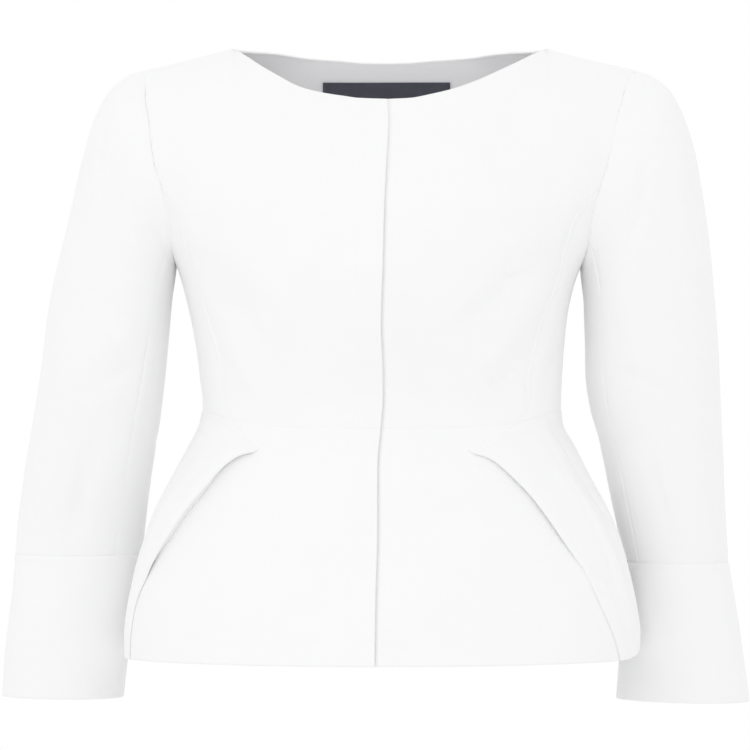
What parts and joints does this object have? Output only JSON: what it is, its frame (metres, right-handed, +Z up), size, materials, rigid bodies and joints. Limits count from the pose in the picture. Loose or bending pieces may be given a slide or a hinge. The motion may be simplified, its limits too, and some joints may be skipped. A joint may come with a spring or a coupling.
{
  "type": "peplum jacket",
  "caption": "Fitted collarless peplum jacket with a wide shallow neck, concealed front closure, folded side flaps and set-in sleeves with deep cuffs, in its worn form.",
  "frame": {"origin": "midway between the two neck points at the top of the shoulders, on the shoulder line, where the jacket hangs on its wearer", "axes": "+X towards the left hand of the wearer, +Y out of the back, +Z up; the wearer faces -Y"},
  "size_m": [0.6836, 0.2949, 0.5906],
  "materials": {
    "cloth": "matt woven crepe",
    "label": "woven satin"
  },
  "bodies": {
    "root": {"back": "cloth", "peplum_back": "cloth", "neck_label": "label", "front_right": "cloth", "side_right": "cloth", "peplum_front_right": "cloth", "peplum_side_right": "cloth", "sleeve_upper_right": "cloth", "sleeve_under_right": "cloth", "cuff_right": "cloth", "front_left": "cloth", "side_left": "cloth", "peplum_front_left": "cloth", "peplum_side_left": "cloth", "sleeve_upper_left": "cloth", "sleeve_under_left": "cloth", "cuff_left": "cloth"}
  },
  "joints": []
}
